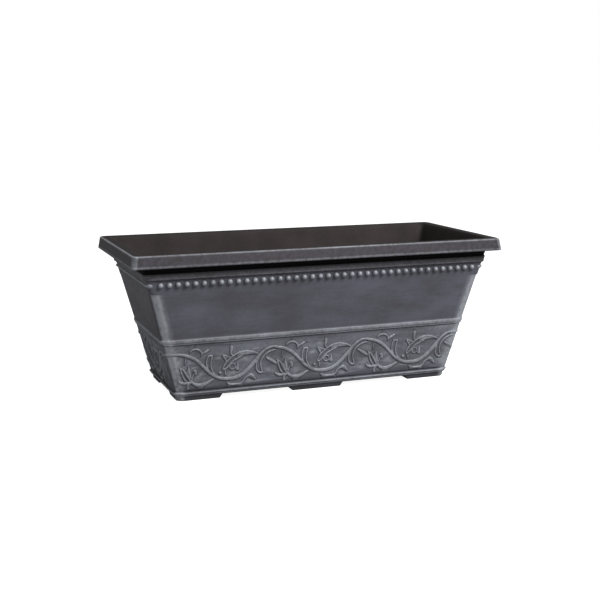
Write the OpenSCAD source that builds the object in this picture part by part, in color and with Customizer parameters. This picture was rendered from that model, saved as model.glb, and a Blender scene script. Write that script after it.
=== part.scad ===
// Window box planter: a moulded shell with a turned-down rim, a bead row and a
// vine frieze, and push-in plugs in its drain holes.
// Millimetres, +Z up, origin on the ground under the middle of the box.

/* [Overall size] */
// Height from the ground to the top of the rim
height = 234; // [200:1:300]
// Length over the lower edge of the rim
rim_len = 610; // [540:5:900]
// Width over the lower edge of the rim
rim_wid = 268; // [230:2:360]
// Length of the body, its walls carried down to the ground
base_len = 460; // [380:5:500]
// Width of the body, its walls carried down to the ground
base_wid = 168; // [130:2:190]

/* [Walls] */
// Thickness of the walls, measured level
wall_t = 4; // [3:0.5:6]
// Thickness of the floor
floor_t = 4.5; // [3:0.5:8]
// Radius of the corners below the stop of the corner strips
corner_r = 11; // [8:0.5:16]
// Radius of the corners above the stop
neck_corner_r = 7; // [6:0.5:12]
// How far under the bead row the corner strips stop
strip_drop = 15.2; // [8:0.2:30]

/* [Rim] */
// Height of the turned-down skirt of the rim
skirt_h = 19.2; // [14:0.2:24]
// Thickness of the skirt and of the flat land on top
rim_t = 3.6; // [2.5:0.1:5]
// How far the skirt spreads from its top to its lower edge
skirt_flare = 3; // [0:0.5:5]
// How far the lower edge of the rim stands out past the end walls
rim_out_end = 15; // [12:0.5:24]
// How far the lower edge of the rim stands out past the long walls
rim_out_side = 13.4; // [12:0.2:24]
// Radius of the rim's corners
rim_corner_r = 9; // [6:0.5:14]

/* [Feet] */
// Height of the feet
foot_h = 6.6; // [4:0.2:14]
// Length of a corner foot along the long wall
corner_foot_len = 68; // [40:1:90]
// Width of a corner foot along the end wall
corner_foot_wid = 46; // [30:1:54]
// Length of the middle foot of each long wall
middle_foot_len = 82; // [40:1:120]
// Depth of the middle foot under the floor
middle_foot_dep = 34; // [20:1:44]
// How far each foot grows at its inner sides, from its sole to the floor
foot_draft = 5; // [0:0.5:8]

/* [Mouldings] */
// Height of the middle of the base moulding
base_mould_z = 12.2; // [12:0.2:16]
// How far the base moulding stands out
base_mould_out = 2.8; // [1.5:0.1:4]
// Height of the middle of the half-round moulding over the frieze
mid_mould_z = 97.6; // [90:0.2:120]
// Height of that half-round
mid_mould_h = 6.6; // [4:0.2:9]
// How far it stands out
mid_mould_out = 1.8; // [1.2:0.1:4]
// Height of the plain neck between the rim's lower edge and the band
neck_h = 10; // [6:0.5:20]
// Height of the band
band_h = 9.6; // [7:0.2:14]
// How far the band stands out
band_out = 2.8; // [1.5:0.1:4]

/* [Beads] */
// Diameter of a bead, which stands out of the wall by more than half
bead_d = 8.6; // [6:0.2:10]
// Distance from bead to bead
bead_pitch = 13.26; // [11:0.02:18]
// How far the bead row lies under the band's lower edge
bead_drop = 8; // [7:0.2:14]
// Free length between the corner and the first bead
bead_end_gap = 18; // [14:0.5:30]
// Thickness of the plain ridge that takes the row's place on the end walls
end_ridge_d = 4; // [3:0.5:8]

/* [Vine frieze] */
// Length of one turn of the vine
vine_turn = 158; // [150:1:200]
// Height that the relief stands out
relief_h = 2.4; // [1.5:0.1:3.5]

/* [Drainage] */
// Diameter of the drain holes
drain_d = 18; // [12:1:24]
// Number of drain holes along the box, in each of the two rows
drain_cols = 3; // [2:1:3]
// Free floor between a corner foot and the nearest drain hole
drain_end_gap = 18; // [8:1:30]
// Free floor between a middle foot and the nearest drain hole
drain_side_gap = 6; // [3:0.5:10]
// Running clearance all round between plug and hole
plug_clear = 0.05; // [0.02:0.01:0.1]
// How far a plug's flange overlaps the floor round the hole
flange_over = 4.5; // [3:0.5:8]
// Thickness of a plug's flange
flange_t = 2.5; // [1.5:0.5:4]
// Height of a plug's finger tab
tab_h = 8; // [5:0.5:14]
// Thickness of a plug's finger tab
tab_t = 3.2; // [2:0.2:5]
// Wall left round the hollow in the underside of a plug
plug_wall = 3; // [2:0.5:4]

/* [Hidden] */

shell_grey = [0.32, 0.33, 0.36];
plug_black = [0.13, 0.13, 0.14];
corner_steps = 4;

// How far joined solids run into each other
over = 1;

end_lean = (rim_len / 2 - rim_out_end - base_len / 2) / height;
side_lean = (rim_wid / 2 - rim_out_side - base_wid / 2) / height;
floor_top = foot_h + floor_t;
skirt_z = height - skirt_h;
rim_under = height - rim_t;
band_top = skirt_z - neck_h;
band_z = band_top - band_h;
bead_z = band_z - bead_drop;
strip_top = bead_z - strip_drop;

// Half length and half width of the body's outer faces at height z
function half_len(z) = base_len / 2 + end_lean * z;
function half_wid(z) = base_wid / 2 + side_lean * z;

// Corner radius of the body at height z: the strips run out over a short stop
stop_h = 4;
function corner_at(z) = z <= strip_top ? corner_r
    : z >= strip_top + stop_h ? neck_corner_r
    : corner_r + (neck_corner_r - corner_r) * (z - strip_top) / stop_h;

// A level ring is [half length, half width, corner radius, height].
// wall_ring stands out by "out" from the body's face at height z.
function wall_ring(z, out) = [half_len(z) + out, half_wid(z) + out, max(corner_at(z) + out, 1), z];
function in_ring(z) = [half_len(z) - wall_t, half_wid(z) - wall_t, max(corner_at(z) - wall_t + 2, 2), z];
function rim_ring(z, in) =
    let (spread = skirt_flare * min(1, (height - z) / (skirt_h - skirt_edge)))
    [rim_len / 2 - skirt_flare + spread - in, rim_wid / 2 - skirt_flare + spread - in,
     max(rim_corner_r - in, 2), z];
function in_lip(z, in) = let (g = in_ring(z)) [g[0] - in, g[1] - in, max(g[2] - in, 1.5), z];

// The points of a ring, anticlockwise from above
function ring_points(g) = [for (quarter = [0:3], k = [0:corner_steps])
    let (sx = quarter == 0 || quarter == 3 ? 1 : -1,
         sy = quarter < 2 ? 1 : -1,
         turn = 90 * quarter + 90 * k / corner_steps)
    [sx * (g[0] - g[2]) + g[2] * cos(turn), sy * (g[1] - g[2]) + g[2] * sin(turn), g[3]]];

// A closed solid through a stack of rings of equal point counts
module stacked(loops) {
    n = len(loops[0]);
    last = len(loops) - 1;
    sides = [for (i = [0:last - 1], k = [0:n - 1]) let (m = (k + 1) % n)
        each [[i * n + k, (i + 1) * n + k, (i + 1) * n + m], [i * n + k, (i + 1) * n + m, i * n + m]]];
    polyhedron([for (p = loops) each p],
        concat([[for (k = [0:n - 1]) k]], sides, [[for (k = [n - 1:-1:0]) last * n + k]]));
}

// The mouldings' smaller measures
plinth_out = 0.6;
base_mould_h = 4.4;
step_h = 3.4;
step_out = 1.4;
round_out = 0.4;
edge_h = 0.6;
lip_h = 1.6;
lip_out = 0.3;
band_sink = 0.6;
edge_r = 1.2;
skirt_edge = 0.8;
mid_low = mid_mould_z - mid_mould_h / 2;
mid_high = mid_mould_z + mid_mould_h / 2;

// Outer face from the floor up, over the rim, and down the inner face
base_rings = concat(
    [wall_ring(foot_h, -edge_r), wall_ring(foot_h + edge_r, plinth_out)],
    [for (k = [-2:2]) wall_ring(base_mould_z + k * base_mould_h / 4,
        plinth_out + (base_mould_out - plinth_out) * (1 - k * k / 5))],
    [wall_ring(base_mould_z + base_mould_h / 2 + edge_h, 0)]);
mid_rings = concat(
    [wall_ring(mid_low - step_h - edge_h, 0), wall_ring(mid_low - step_h, step_out),
     wall_ring(mid_low - edge_h, step_out)],
    [for (turn = [-75:25:75]) wall_ring(mid_mould_z + mid_mould_h / 2 * sin(turn),
        round_out + (mid_mould_out - round_out) * cos(turn))],
    [wall_ring(mid_high + edge_h, 0)]);
strip_rings = [wall_ring(strip_top, 0), wall_ring(strip_top + stop_h, 0)];
band_rings = [wall_ring(band_z - lip_h, 0), wall_ring(band_z, band_out),
    wall_ring(band_z + lip_h, band_out + lip_out), wall_ring(band_z + 2 * lip_h, band_out - band_sink),
    wall_ring(band_top, band_out - band_sink), wall_ring(band_top + edge_r, 0)];
rim_rings = [wall_ring(rim_under, 0), rim_ring(rim_under, rim_t), rim_ring(skirt_z, rim_t),
    rim_ring(skirt_z, skirt_edge), rim_ring(skirt_z + skirt_edge, 0), rim_ring(height - edge_r * 1.5, 0),
    rim_ring(height - edge_r * 0.45, edge_r * 0.45), rim_ring(height, edge_r * 1.5)];
inner_rings = [in_lip(height, -edge_r), in_lip(height - edge_r, 0), in_ring(strip_top + stop_h),
    in_ring(strip_top), in_ring(floor_top + edge_r * 2), in_lip(floor_top, edge_r * 2)];
shell_rings = concat(base_rings, mid_rings, strip_rings, band_rings, rim_rings, inner_rings);

// Relief: a rib with a flat crest that follows points [along, height, width] over
// a wall, with its root sunk into the wall
rib_sink = wall_t / 2;
function heading(p, i) = let (v = p[min(i + 1, len(p) - 1)] - p[max(i - 1, 0)])
    [v[0], v[1]] / norm([v[0], v[1]]);

// Where a plate point lies on the long wall that faces -Y, or on the end wall that faces +X
function on_side(u, z, out) = [u, -half_wid(z) - out, z];
function on_end(u, z, out) = [half_len(z) + out, u, z];

function rib_loop(c, dir, h, at_end) = let (w = c[2] / 2, side = [-dir[1], dir[0]],
    section = [[w, -rib_sink], [w * 0.5, h], [-w * 0.5, h], [-w, -rib_sink]])
    [for (s = section) let (q = [c[0], c[1]] + side * s[0])
        at_end ? on_end(q[0], q[1], s[1]) : on_side(q[0], q[1], s[1])];
module rib(p, at_end = false) {
    stacked([for (i = [0:len(p) - 1])
        rib_loop(p[i], heading(p, i), relief_h * (i == 0 || i == len(p) - 1 ? 0.4 : 1), at_end)]);
}

// One turn of the vine, from peak to peak, about its lowest point, as drawn for a turn of drawn_turn
drawn_turn = 158;
vine_shift = 5;
frieze_low = 16.4;
frieze_high = 90;
stem = [[-79, 77, 4.2], [-69, 74.4, 5], [-58, 69.4, 5.4], [-47, 61, 5.4], [-30, 43, 5], [-17, 34.8, 5.2],
    [0, 30.7, 5.6], [14, 32.6, 6.6], [28, 40.2, 6.8], [40, 52.4, 7], [50, 64.4, 5.6], [59, 73.4, 4.6],
    [68, 77.4, 4.2], [79, 77, 4.2]];
twig = [[62, 60.8, 4], [79.6, 48.8, 4.4]];
left_leaf = [[-27, 43, 4], [-31.5, 54, 9], [-31, 63.5, 9.5], [-29.5, 71, 6]];
hanging_leaf = [[60, 66, 3], [53.5, 56, 7], [51.8, 46, 9.6], [53.6, 37.2, 6]];
arch_branch = [[48, 68, 3.4], [33, 71.4, 6], [17, 68.8, 8], [4, 60.6, 8.6], [-5, 51, 7], [-7.6, 46, 4]];
low_curl = [[-1.5, 25.2, 3], [6, 21, 3.4], [18, 21, 3.6], [25.5, 26.6, 3.4], [29, 30.4, 3.4], [37, 34, 4.6],
    [45.6, 25.8, 3]];
high_curl = [[-62.6, 79, 2.8], [-56.4, 83.1, 3.2], [-46.5, 81, 3.4], [-43.4, 73, 4.2], [-33, 80.6, 3]];
flower_stem = [[-23.6, 32.4, 4.6], [-38, 25.2, 5.6], [-50, 25, 5.4], [-59.6, 30.6, 5], [-69.6, 43, 6],
    [-78, 56, 3.2]];
petals = [[[-60, 30, 5], [-61, 44, 5], [-63.8, 55.6, 3]], [[-59, 33, 4], [-54, 45, 6.2], [-53.4, 49, 4]],
    [[-61, 29.4, 4], [-71, 29.4, 5], [-80, 33, 3.2]]];
bud = [[3.6, 72.5, 3.4], [4, 84.5, 5]];
sprigs = [twig, left_leaf, hanging_leaf, arch_branch, low_curl, high_curl, flower_stem, bud];

module vine_turn_relief(at_end = false) {
    for (line = concat([stem], sprigs, petals))
        rib([for (p = line) [p[0] * vine_turn / drawn_turn, p[1], p[2]]], at_end);
}

// The relief of all four walls, trimmed where the walls turn the corners
module frieze() {
    turns = floor(2 * half_len(frieze_low) / vine_turn + 0.2);
    intersection() {
        stacked([for (z = [frieze_low, frieze_high]) ring_points(wall_ring(z, relief_h))]);
        for (facing = [0, 180])
            rotate([0, 0, facing]) {
                for (i = [0:turns - 1])
                    translate([(i - (turns - 1) / 2) * vine_turn + vine_shift, 0, 0])
                        vine_turn_relief();
                vine_turn_relief(at_end = true);
            }
    }
}

module shell_body() {
    stacked([for (g = shell_rings) ring_points(g)]);
}

// Long sloped-ended blocks, trimmed to the body's own outline
module foot_blocks() {
    x_end = half_len(0);
    y_end = half_wid(0);
    for (sx = [-1, 1], sy = [-1, 1])
        scale([sx, sy, 1])
            intersection() {
                translate([0, y_end + 10, 0])
                    rotate([90, 0, 0])
                        linear_extrude(y_end + 10)
                            polygon([[x_end - corner_foot_len, 0], [x_end + 10, 0],
                                [x_end + 10, foot_h + over],
                                [x_end - corner_foot_len - foot_draft, foot_h + over]]);
                rotate([90, 0, 90])
                    linear_extrude(x_end + 10)
                        polygon([[y_end - corner_foot_wid, 0], [y_end + 10, 0], [y_end + 10, foot_h + over],
                            [y_end - corner_foot_wid - foot_draft, foot_h + over]]);
            }
    for (sy = [-1, 1])
        translate([0, sy > 0 ? y_end + 10 : -y_end + middle_foot_dep, 0])
            rotate([90, 0, 0])
                linear_extrude(middle_foot_dep + 10)
                    polygon([[-middle_foot_len / 2, 0], [middle_foot_len / 2, 0],
                        [middle_foot_len / 2 + foot_draft, foot_h + over],
                        [-middle_foot_len / 2 - foot_draft, foot_h + over]]);
}

module feet() {
    intersection() {
        stacked([for (g = [wall_ring(0, -edge_r), wall_ring(edge_r, 0), wall_ring(foot_h + over, -over)])
            ring_points(g)]);
        foot_blocks();
    }
}

// The beads of the two long walls
module bead_rows() {
    bead_out = max(0, bead_d / 2 - wall_t * 0.8);
    count = floor(2 * (half_len(bead_z) - bead_end_gap) / bead_pitch) + 1;
    for (sy = [-1, 1], i = [0:count - 1])
        translate([(i - (count - 1) / 2) * bead_pitch, sy * (half_wid(bead_z) + bead_out), bead_z])
            rotate([90, 0, 0])
                sphere(d = bead_d, $fn = 24);
}

// The plain ridges of the end walls, and a bead at each corner
module end_ridges() {
    corner_in = neck_corner_r * 0.5;
    for (sx = [-1, 1]) {
        for (sy = [-1, 1])
            translate([sx * (half_len(bead_z) - corner_in), sy * (half_wid(bead_z) - corner_in), bead_z])
                sphere(d = bead_d, $fn = 16);
        translate([sx * half_len(bead_z), half_wid(bead_z) - corner_in, bead_z])
            rotate([90, 0, 0])
                cylinder(d = end_ridge_d, h = 2 * (half_wid(bead_z) - corner_in), $fn = 16);
    }
}

// Joins flat-faced solids into one, at their own size
module one_mesh() {
    resize([0, 0, 0])
        children();
}

// Centre of drain hole i, counted from the front left, row by row
drain_end = base_len / 2 - corner_foot_len - foot_draft - drain_end_gap - drain_d / 2;
drain_side = base_wid / 2 - middle_foot_dep - drain_side_gap - drain_d / 2;
function drain_at(i) = [((i % drain_cols) * 2 / (drain_cols - 1) - 1) * drain_end,
    (i < drain_cols ? -1 : 1) * drain_side, 0];

module planter_shell() {
    color(shell_grey)
        difference() {
            union() {
                one_mesh() {
                    shell_body();
                    feet();
                    frieze();
                    end_ridges();
                }
                bead_rows();
            }
            for (i = [0:2 * drain_cols - 1])
                translate(drain_at(i))
                    cylinder(d = drain_d, h = 3 * floor_top, center = true, $fn = 48);
        }
}

// A finger tab with rounded shoulders, its root sunk into the flange
module tab_outline(half) {
    shoulder = 2;
    translate([-half, -over])
        square([2 * half, tab_h + over - shoulder]);
    translate([shoulder - half, 0])
        square([2 * (half - shoulder), tab_h]);
    for (sx = [-1, 1])
        translate([sx * (half - shoulder), tab_h - shoulder])
            circle(r = shoulder, $fn = 32);
}

// A plug stands in its hole, its flange on the inner floor
module drain_plug(i) {
    stem_r = drain_d / 2 - plug_clear;
    flange_r = drain_d / 2 + flange_over;
    if (i < 2 * drain_cols)
        color(plug_black)
            translate(drain_at(i)) {
                rotate_extrude($fn = 48)
                    polygon([[0, foot_h + floor_t * 0.6], [stem_r - plug_wall, foot_h + floor_t * 0.6],
                        [stem_r - plug_wall, foot_h], [stem_r, foot_h], [stem_r, floor_top],
                        [flange_r, floor_top],
                        [flange_r, floor_top + flange_t - 0.6], [flange_r - 0.6, floor_top + flange_t],
                        [0, floor_top + flange_t]]);
                translate([0, tab_t / 2, floor_top + flange_t])
                    rotate([90, 0, 0])
                        linear_extrude(tab_t)
                            tab_outline(stem_r * 0.65);
            }
}

planter_shell();
drain_plug(0);  // drain_plug_1
drain_plug(1);  // drain_plug_2
drain_plug(2);  // drain_plug_3
drain_plug(3);  // drain_plug_4
drain_plug(4);  // drain_plug_5
drain_plug(5);  // drain_plug_6
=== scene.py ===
import math
from collections import namedtuple

import bmesh
import bpy
from mathutils import Matrix, Vector
from mathutils.kdtree import KDTree


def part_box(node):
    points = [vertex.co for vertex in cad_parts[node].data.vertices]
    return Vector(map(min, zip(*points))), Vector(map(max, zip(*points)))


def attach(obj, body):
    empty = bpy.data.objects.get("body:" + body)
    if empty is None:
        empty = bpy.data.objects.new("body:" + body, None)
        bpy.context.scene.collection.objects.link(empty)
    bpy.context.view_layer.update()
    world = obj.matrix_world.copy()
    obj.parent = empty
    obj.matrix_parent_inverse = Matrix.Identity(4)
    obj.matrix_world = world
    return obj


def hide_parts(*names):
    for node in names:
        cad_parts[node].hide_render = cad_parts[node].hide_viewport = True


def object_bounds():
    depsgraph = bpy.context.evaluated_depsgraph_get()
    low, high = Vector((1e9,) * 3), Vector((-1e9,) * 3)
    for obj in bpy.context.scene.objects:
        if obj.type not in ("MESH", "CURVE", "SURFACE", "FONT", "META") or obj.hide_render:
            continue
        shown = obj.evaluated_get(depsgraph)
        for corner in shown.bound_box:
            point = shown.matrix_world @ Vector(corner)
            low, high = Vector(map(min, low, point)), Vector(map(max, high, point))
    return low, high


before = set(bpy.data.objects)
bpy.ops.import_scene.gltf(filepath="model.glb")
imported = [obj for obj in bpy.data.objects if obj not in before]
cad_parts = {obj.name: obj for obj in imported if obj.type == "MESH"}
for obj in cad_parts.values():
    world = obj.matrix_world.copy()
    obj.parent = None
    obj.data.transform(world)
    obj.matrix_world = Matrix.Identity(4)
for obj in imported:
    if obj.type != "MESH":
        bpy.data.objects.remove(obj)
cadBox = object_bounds()
mm = 0.001  # pieces are modelled in millimetres, then brought to metres
slack = 0.01  # mm, for what rounding moves


# Small helpers for objects, selections, modifiers and materials

def clearSelection():
    if bpy.context.object and bpy.context.object.mode != "OBJECT":
        bpy.ops.object.mode_set(mode="OBJECT")
    bpy.ops.object.select_all(action="DESELECT")


def makeActive(piece):
    clearSelection()
    piece.select_set(True)
    bpy.context.view_layer.objects.active = piece


# Adds what a primitive operator makes, with its transforms applied
def addShape(primitive, name, **settings):
    clearSelection()
    primitive(**settings)
    bpy.ops.object.transform_apply(location=True, rotation=True, scale=True)
    bpy.context.object.name = name
    return bpy.context.object


def startEditing(piece, kind="VERT"):
    makeActive(piece)
    bpy.ops.object.mode_set(mode="EDIT")
    bpy.ops.mesh.select_mode(type=kind)
    bpy.ops.mesh.select_all(action="SELECT")


def stopEditing():
    bpy.ops.object.mode_set(mode="OBJECT")


# Selects the vertices, edges or faces that pass the test
def selectWhere(piece, kind, test):
    bm = bmesh.from_edit_mesh(piece.data)
    bm.normal_update()
    for part in {"VERT": bm.verts, "EDGE": bm.edges, "FACE": bm.faces}[kind]:
        part.select = test(part)
    bm.select_flush(False)
    bmesh.update_edit_mesh(piece.data)


def applyModifier(piece, kind, **settings):
    makeActive(piece)
    modifier = piece.modifiers.new(kind.title(), kind)
    for name, value in settings.items():
        setattr(modifier, name, value)
    bpy.ops.object.modifier_apply(modifier=modifier.name)


def joinPieces(main, others):
    makeActive(main)
    for piece in others:
        piece.select_set(True)
    bpy.ops.object.join()
    return main


def copyOf(piece, name):
    twin = piece.copy()
    twin.data = piece.data.copy()
    twin.name = name
    bpy.context.collection.objects.link(twin)
    return twin


def turnOutwards(piece):
    startEditing(piece)
    bpy.ops.mesh.normals_make_consistent(inside=False)
    stopEditing()


def smoothPiece(piece, angle):
    makeActive(piece)
    bpy.ops.object.shade_smooth_by_angle(angle=math.radians(angle))


def finishPiece(piece, body, nodes):
    piece.data.transform(Matrix.Scale(mm, 4))
    piece.data.update()
    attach(piece, body)
    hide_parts(*nodes)


def fromHex(text):
    def toLinear(part):
        value = int(part, 16) / 255
        return value / 12.92 if value <= 0.04045 else ((value + 0.055) / 1.055) ** 2.4
    return (*[toLinear(text[i:i + 2]) for i in (1, 3, 5)], 1.0)


# An input takes a value, or the socket or node that feeds it
def addNode(tree, kind, inputs=None, **settings):
    made = tree.nodes.new("ShaderNode" + kind)
    for name, value in settings.items():
        setattr(made, name, value)
    for name, value in (inputs or {}).items():
        if isinstance(value, bpy.types.Node):
            value = next(socket for socket in value.outputs if socket.enabled)
        if isinstance(value, bpy.types.NodeSocket):
            tree.links.new(value, made.inputs[name])
        else:
            made.inputs[name].default_value = value
    return made


def newMaterial(name):
    material = bpy.data.materials.new(name)
    material.use_nodes = True
    material.node_tree.nodes.clear()
    return material, material.node_tree


# Shell: one thin moulding. Its outline is a rounded rectangle that changes from height to height.
# Each vertex carries how much silver is rubbed on, with a painted highlight on the upper side of the beads
# and the end ridges; below 0 it is how much black lies there: wash residue in the grooves, painted shade
# under the rim, the band, the beads and the mouldings, and a darker band round the inside just under the
# rim's top.

shell = {
    "halfLength": 230.0,  # of the walls, carried down to the ground
    "halfWidth": 84.0,
    "endLean": 0.2564,  # how far a wall leans out per mm of height
    "sideLean": 0.1564,
    "wall": 4.0,
    "cornerRadius": 11.0,  # up to the stop of the corner strips
    "neckRadius": 7.0,  # and above it
    "leastRadius": 1.0,
    "insideRadius": 10.0,
    "stripTop": 172.0,
    "stopHeight": 2.2,
    "stripHalfTurn": 25.0,  # degrees: half of the part of the corner's arc that is cut flat
    "stripWash": 1.4,
    "stripEdge": 5.0,  # degrees in which the strip's silver ends on the arc
    "stripFade": 9.0,  # how far it fades out over the long wall
    "stripFadeWash": 0.8,
    "rimCornerWash": 0.6,
    # a lighter band down the inner corners, partly wear and partly a painted sheen
    "insideCornerWearAndSheen": 0.6,
    "insideCornerTop": 2.0,  # how far under the rim's top it begins
    "arcStart": 0.3,  # how far from an arc's ends the silver of these corners begins
    "endRub": 1.7,  # times as much silver on the end walls
    "roundTurn": 78,  # degrees that a half-round turns up and down from level
    "crestTurn": 8,  # degrees that its silver lies over the middle
    "crestPower": 1.2,  # how soon that silver thins
    "footHeight": 6.6,
    "floorTop": 11.1,
    "friezeLow": 17.0,
    "friezeHigh": 90.4,
    "friezeRows": 15,
    "friezeCuts": 5,  # each face of the frieze is cut this often before it is carved
    "friezeKeep": 0.45,  # share of its triangles kept afterwards, where the carving needs them
    "rimFlare": 3.0,
    "rimRadius": 9.0,
    "rimLeastRadius": 2.0,
    "skirtThickness": 3.6,
    "skirtLow": 214.8,
    "skirtEdge": 0.8,
    "cornerSteps": 6,
    "sideCuts": 95,
    "endCuts": 33,
    "drainDiameter": 18.0,
    "drainCut": 30.0,  # length of their cutter, which stands out of both sides of the floor
    "innerDepth": 2.0,  # what lies this deep behind the outer wall shows the bare resin
    "smoothAngle": 40,
    "landDepth": 0.2,  # the rim's land is all that lies less deep and whose wash is less
    "landWash": 0.21,
    # faces blacker than this take the unsprayed black, which paints the shade under the rim
    "underRimShadeWash": -0.99,  # what has less lies behind the skirt
}
# Each point is (height, how far it stands out of the wall, wash). Its black is wash residue in the
# grooves; on the plinth, round the step and the middle half-round, below the beads and on the band's lower
# edge it is partly painted shade, and the neck's full black is painted shade under the rim.
profile = {
    "plinth": [(6.6, -1.4, -0.5), (6.9, -0.5, -0.45), (7.5, 0.3, -0.3), (8.1, 0.5, -0.2)],
    "baseGroove": [(14.8, -0.2, -0.55), (15.6, -0.5, -0.75), (16.4, -0.3, -0.65)],
    "step": [(90.9, -0.5, -0.35), (91.3, -0.3, -0.25), (91.7, 0.4, 0.1), (92.1, 0.9, 0.35),
             (92.8, 1.2, 0.4), (93.3, 1.0, 0.2)],
    "field": [(101.6, 0.0, -0.1), (104.0, 0.0, -0.05), (108.0, 0.0, 0.0), (138.0, 0.0, 0.0),
              (169.0, 0.0, 0.0)],
    "beadGround": [(178.0, 0.0, 0.0), (182.0, 0.0, -0.1), (184.0, 0.0, 0.0), (190.6, 0.0, 0.05),
                   (193.2, 0.0, 0.0), (194.2, 0.7, -0.05)],
    "band": [(195.0, 2.3, -0.1), (195.7, 2.8, 0.05), (196.7, 3.0, 0.2), (197.8, 2.3, 0.2),
             (201.6, 2.2, 0.15), (203.6, 2.2, -0.15), (204.5, 2.0, -0.2), (205.1, 1.2, -0.8)],
    # painted shade: the neck lies in the rim's shadow and is drawn full black
    "neck": [(206.2, 0.0, -1.0), (230.4, 0.0, -1.0)],
}
# Each half-round is (middle height, half height, foot, how far it stands out, wash, steps)
halfRounds = {
    "baseLow": (9.4, 1.1, 0.5, 1.6, 0.6, 4),
    "baseHigh": (12.3, 1.9, 0.4, 2.8, 0.6, 6),
    "middle": (97.0, 3.4, 0.4, 1.8, 0.8, 8),
}
atTop = -0.0001  # just under the top, so that it counts from there
# Each point of the rim is (height over the skirt's lower edge, or under the top if below 0, inward, wash)
rim = {
    # the skirt's inside is drawn black as painted shade under the rim
    "skirtInside": [(0.5, 3.6, -1.0), (0.0, 3.1, -0.6)],
    "skirtLow": [(0.0, 0.9, -0.2), (0.25, 0.3, 0.0), (0.8, 0.0, 0.1), (1.8, 0.0, 0.3), (3.2, 0.0, 0.35),
                 (4.6, 0.0, 0.0)],
    "topEdge": [(-4.2, 0.0, 0.0), (-2.6, 0.0, 0.0), (-1.3, 0.15, 0.35), (-0.5, 0.6, 0.75),
                (-0.1, 1.3, 0.7)],
    "land": [(atTop, 2.0, 0.35), (atTop, 3.0, -0.3), (atTop, 5.0, -0.65), (atTop, 13.0, -0.65)],
}
insideTop = [(0.0, -1.3, -0.65), (0.3, -0.5, -0.5), (1.2, 0.0, -0.2)]  # (under the top, inward, wash)
insideFoot = [(2.6, 0.0), (0.9, 0.7), (0.0, 2.6)]  # (over the floor, inward)
rimHalfLength = cadBox[1].x / mm
rimHalfWidth = cadBox[1].y / mm
rimTop = cadBox[1].z / mm

levelRing = namedtuple("levelRing", "length width radius height wash inside")  # length and width are half


def lengthAt(height):
    return shell["halfLength"] + shell["endLean"] * height


def widthAt(height):
    return shell["halfWidth"] + shell["sideLean"] * height


def radiusAt(height):
    above = (height - shell["stripTop"]) / shell["stopHeight"]
    share = min(max(above, 0.0), 1.0)
    return shell["cornerRadius"] + (shell["neckRadius"] - shell["cornerRadius"]) * share


def wallRing(height, out=0.0, wash=0.0):
    radius = max(radiusAt(height) + out, shell["leastRadius"])
    return levelRing(lengthAt(height) + out, widthAt(height) + out, radius, height, wash, False)


def rimRing(rise, inward, wash=0.0):
    height = shell["skirtLow"] + rise if rise >= 0 else rimTop + rise
    drop = (rimTop - height) / (rimTop - shell["skirtLow"] - shell["skirtEdge"])
    spread = shell["rimFlare"] * (min(1.0, drop) - 1.0) - inward
    radius = max(shell["rimRadius"] - inward, shell["rimLeastRadius"])
    return levelRing(rimHalfLength + spread, rimHalfWidth + spread, radius, height, wash, False)


def insideRing(height, inward=0.0, wash=0.0):
    wall = shell["wall"] + inward
    radius = shell["insideRadius"] - inward
    return levelRing(lengthAt(height) - wall, widthAt(height) - wall, radius, height, wash, True)


def halfRound(height, half, foot, out, wash, steps):
    rings = []
    limit = shell["roundTurn"]
    for step in range(steps + 1):
        turn = math.radians(-limit + 2 * limit * step / steps)
        crest = max(math.cos(turn - math.radians(shell["crestTurn"])), 0.0) ** shell["crestPower"]
        standing = foot + (out - foot) * math.cos(turn)
        rings.append(wallRing(height + half * math.sin(turn), standing, wash * crest))
    return rings


def shellProfile():
    low, high = shell["friezeLow"], shell["friezeHigh"]
    stripTop, stripStop = shell["stripTop"], shell["stripTop"] + shell["stopHeight"]
    rings = [wallRing(*point) for point in profile["plinth"]]
    rings += halfRound(*halfRounds["baseLow"]) + halfRound(*halfRounds["baseHigh"])
    rings += [wallRing(*point) for point in profile["baseGroove"]]
    for row in range(shell["friezeRows"] + 1):
        rings.append(wallRing(low + (high - low) * row / shell["friezeRows"]))
    rings += [wallRing(*point) for point in profile["step"]]
    rings += halfRound(*halfRounds["middle"])
    rings += [wallRing(*point) for point in profile["field"]]
    rings += [wallRing(stripTop), wallRing(stripStop)]
    for name in ("beadGround", "band", "neck"):
        rings += [wallRing(*point) for point in profile[name]]
    rings.append(rimRing(-shell["skirtThickness"], shell["skirtThickness"], -1.0))
    for name in ("skirtInside", "skirtLow", "topEdge", "land"):
        rings += [rimRing(*point) for point in rim[name]]
    rings += [insideRing(rimTop - under, inward, wash) for under, inward, wash in insideTop]
    rings += [insideRing(height) for height in (226.0, 205.0, stripStop, stripTop, 120.0, 60.0)]
    rings += [insideRing(shell["floorTop"] + over, inward) for over, inward in insideFoot]
    return rings


# The corner strips, up to their stop, and the corners of the rim are rubbed lighter than the walls; the
# inner corners are lighter too, partly worn and partly a painted sheen
def cornerWash(point, ring):
    over = Vector((abs(point.x) - (ring.length - ring.radius), abs(point.y) - (ring.width - ring.radius)))
    if ring.height < shell["stripTop"] + shell["stopHeight"] - slack and not ring.inside:
        if over.y <= 0.0:
            return 0.0
        if over.x < 0.0:
            return shell["stripFadeWash"] * max(1.0 + over.x / shell["stripFade"], 0.0)
        past = math.degrees(math.atan2(over.x, over.y)) - 2 * shell["stripHalfTurn"]
        return shell["stripWash"] * min(max(-past / shell["stripEdge"], 0.0), 1.0)
    if min(over) < shell["arcStart"]:
        return 0.0
    if ring.inside:
        isUnder = ring.height < rimTop - shell["insideCornerTop"]
        return shell["insideCornerWearAndSheen"] * min(over) / ring.radius if isUnder else 0.0
    return shell["rimCornerWash"] if ring.height >= shell["skirtLow"] and ring.wash > -0.1 else 0.0


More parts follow.
